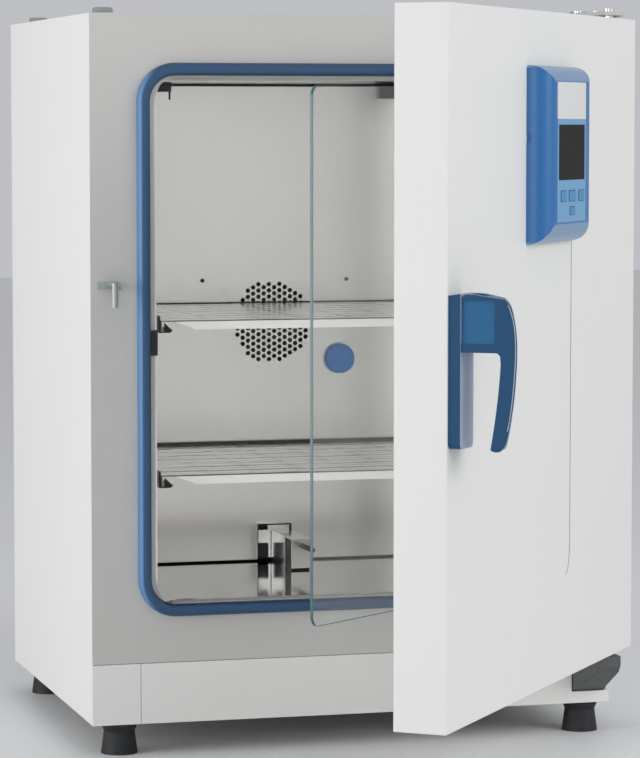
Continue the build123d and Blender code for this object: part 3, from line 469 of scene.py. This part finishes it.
LOOK = {
    "side_panel_left": LIGHT, "side_panel_right": LIGHT, "top_panel": LIGHT, "rear_cover": LIGHT,
    "base_plate": ZINC, "front_frame": CABINET_GREY_PART_SHADE, "lower_fascia": FASCIA_GREY, "corner_cap_left": FASCIA_GREY,
    "lower_hinge_bracket": DARK_GREY, "upper_hinge_plate": CABINET_GREY_PART_SHADE, "hinge_pins": POLISHED,
    "chamber_side_walls": BRIGHT, "chamber_ceiling": CHAMBER_SHEET_SHADED, "chamber_floor": CHAMBER_SHEET_SHADED,
    "chamber_rear_wall": PLENUM_PAINTED_SHADE, "rear_air_baffle": BRIGHT, "baffle_screws": BLACK,
    "insulation_boards": WOOL, "door_gasket": SEAL, "door_striker": STRIKER,
    "glass_catch": BLACK, "glass_hinge_blocks": ZINC, "shelf_rails": SATIN,
    "rail_spring_clips": BLACK, "shelf_runners": RUNNER, "sensor_guard": GUARD,
    "temperature_probe": BLACK, "fan_motor": MOTOR, "heater_ring": HEATED,
    "port_sleeve": SATIN, "mains_inlet": BLACK, "stacking_pads": PAD_RUBBER,
    "door_outer_skin": LIGHT, "door_inner_panel": INNER_PANEL, "door_insulation": WOOL,
    "door_hinge_bushes": BLACK, "handle_plate": HANDLE_BLUE, "latch_pins": POLISHED,
    "panel_housing": PANEL_BLUE, "panel_overlay": FILM, "display_window": DISPLAY,
    "control_board": CIRCUIT, "handle_lever": HANDLE_BLUE, "handle_inlay": INLAY,
    "latch_hook": ZINC, "button_left": KEY_BLUE, "button_middle": KEY_BLUE,
    "button_right": KEY_BLUE, "button_lower": KEY_BLUE, "glass_pane": GLASS,
    "glass_clamps": ZINC, "shelf_upper": SHELF_UPPER, "shelf_lower": SHELF_LOWER,
    "fan_wheel": FAN_DARK, "inner_port_plug": PLUG_BLUE, "outer_port_plug": PLUG_BLUE,
    "levelling_foot_front_left": FOOT_RUBBER, "levelling_foot_rear_left": FOOT_RUBBER,
    "levelling_foot_front_right": FOOT_RUBBER, "levelling_foot_rear_right": FOOT_RUBBER,
}
for name, node in NODES.items():
    for place in node.material_slots:
        place.material = LOOK[name]

for name, width in {
    "door_outer_skin": 1.2, "handle_plate": 2.5, "panel_overlay": 0.2, "front_frame": 0.5,
    "lower_fascia": 0.6, "corner_cap_left": 0.6, "side_panel_left": 0.5, "side_panel_right": 0.5,
    "top_panel": 0.5, "lower_hinge_bracket": 1.5, "upper_hinge_plate": 1.0, "glass_catch": 0.8,
    "door_striker": 0.6, "sensor_guard": 0.2, "handle_lever": 1.6, "panel_housing": 1.2,
    "button_left": 0.5, "button_middle": 0.5, "button_right": 0.5, "button_lower": 0.5,
}.items():
    soften(NODES[name], width * MM)


# ---- door seal ----------------------------------------------------------------------------------
def door_seal():
    """A rubber seal: a steep slope at its outer edge, then a broad crest that drops off at the opening."""
    low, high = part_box("door_gasket")
    proud = high.y - low.y
    corner = 45.0 * MM
    # inset from the outer edge in mm, and height as a part of the whole
    profile = (
        (0.0, 0.0), (0.0, 0.18), (0.3, 0.34), (1.1, 0.58), (2.2, 0.78), (3.5, 0.90), (5.2, 0.96),
        (8.0, 0.99), (10.8, 1.0), (12.4, 0.96), (13.5, 0.82), (14.2, 0.5), (14.6, 0.0),
    )
    rings = []
    for inset, rise in profile:
        inset = inset * MM
        outline = rounded_outline(high.x - inset, low.z + inset, high.z - inset, corner - inset, 14)
        rings.append([(x, high.y - rise * proud, z) for x, z in outline])
    count = len(rings[0])
    points = [p for ring in rings for p in ring]
    faces = []
    for i in range(len(rings)):
        j = (i + 1) % len(rings)
        for k in range(count):
            n = (k + 1) % count
            faces.append((i * count + k, i * count + n, j * count + n, j * count + k))
    seal = mesh_object("door_seal", points, faces, (SEAL,))
    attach(seal, "cabinet")
    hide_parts("door_gasket")


# ---- glass inner door ---------------------------------------------------------------------------
def glass_door():
    """The pane, with its ground edge in a green of its own."""
    half_x = 239.0 * MM
    centre = -2.0 * MM
    bottom, top = 185.6 * MM, 771.0 * MM
    corner = 12.0 * MM
    arris = 0.4 * MM
    # offset through the pane in mm, and how far the outline draws in
    layers = ((-2.0, arris), (-1.6, 0.0), (1.6, 0.0), (2.0, arris))
    points = []
    for offset, inset in layers:
        outline = rounded_outline(
            half_x - inset, bottom + inset, top - inset, corner - inset, 10, centre
        )
        points += [(x, GLASS_AXIS.y + offset * MM, z) for x, z in outline]
    count = len(points) // len(layers)
    faces = [tuple(range(count)), tuple(range(3 * count, 4 * count))]
    tones = [0, 0]
    for layer in range(3):
        for k in range(count):
            n = (k + 1) % count
            a, b = layer * count, (layer + 1) * count
            faces.append((a + k, a + n, b + n, b + k))
            tones.append(1)
    pane = mesh_object("glass_door_pane", points, faces, (GLASS, GLASS_EDGE), tones, GLASS_SWING, False)
    pane.visible_shadow = False
    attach(pane, "glass_door")
    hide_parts("glass_pane")


# ---- thin line pressed into the outer door ------------------------------------------------------
def door_line():
    """A straight line down the door's face that bends away to the left at its foot."""
    face = DOOR_AXIS.y - 24.0 * MM
    x, top, bend = 81.0 * MM, 602.0 * MM, 263.0 * MM
    across, down, steps = 15.0 * MM, 38.0 * MM, 8
    half, proud = 0.6 * MM, 0.25 * MM
    route = [(x, top), (x, bend)]
    for step in range(1, steps + 1):
        angle = math.radians(90 * step / steps)
        route.append((x - across * (1 - math.cos(angle)), bend - down * math.sin(angle)))
    points = []
    for px, pz in route:
        points += [(px - half, face - proud, pz), (px + half, face - proud, pz)]
    faces = [(2 * i, 2 * i + 1, 2 * i + 3, 2 * i + 2) for i in range(len(route) - 1)]
    line = mesh_object("door_face_line", points, faces, (LINE_GREY,), move=DOOR_SWING)
    thick = line.modifiers.new("thickness", "SOLIDIFY")
    thick.thickness = 0.3 * MM
    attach(line, "door")


door_seal()
glass_door()
door_line()


# ---- studio -------------------------------------------------------------------------------------
def studio():
    size = 12.0  # half the width of the floor
    floor = mesh_object(
        "studio_floor", [(-size, -size, 0), (size, -size, 0), (size, size, 0), (-size, size, 0)],
        [(0, 1, 2, 3)], (studio_floor("studio_floor"),),
    )
    world = bpy.data.worlds.new("studio_world")
    world.use_nodes = True
    sky = world.node_tree.nodes["Background"]
    sky.inputs["Color"].default_value = (0.93, 0.95, 1.0, 1)
    sky.inputs["Strength"].default_value = 0.55
    bpy.context.scene.world = world
    lamps = (
        ("key_right", (3.2, -3.0, 2.2), (0.2, 0.0, 0.5), 2.4, 82),
        ("fill_left", (-2.0, -4.4, 0.7), (0.0, 0.2, 0.40), 2.4, 28),
        ("side_left", (-2.8, -0.4, 0.8), (0.1, -0.2, 0.45), 1.8, 38),
        ("top_soft", (0.0, -1.6, 3.2), (0.0, 0.2, 0.3), 2.0, 4),
    )
    for name, place, target, width, power in lamps:
        data = bpy.data.lights.new(name, "AREA")
        data.shape = "SQUARE"
        data.size = width
        data.energy = power
        lamp = bpy.data.objects.new(name, data)
        lamp.location = place
        lamp.rotation_mode = "QUATERNION"
        lamp.rotation_quaternion = (Vector(target) - Vector(place)).to_track_quat("-Z", "Y")
        bpy.context.scene.collection.objects.link(lamp)


def camera():
    data = bpy.data.cameras.new("camera")
    data.sensor_width = 36.0
    data.lens = 159.64
    data.clip_start = 0.05
    data.clip_end = 60.0
    made = bpy.data.objects.new("camera", data)
    made.location = (-1.0893, -3.7290, 0.7304)
    made.rotation_euler = (math.radians(90 - 4.35), 0.0, math.radians(-15.44))
    bpy.context.scene.collection.objects.link(made)
    bpy.context.scene.camera = made


studio()
camera()
bpy.context.scene.view_settings.view_transform = "Standard"
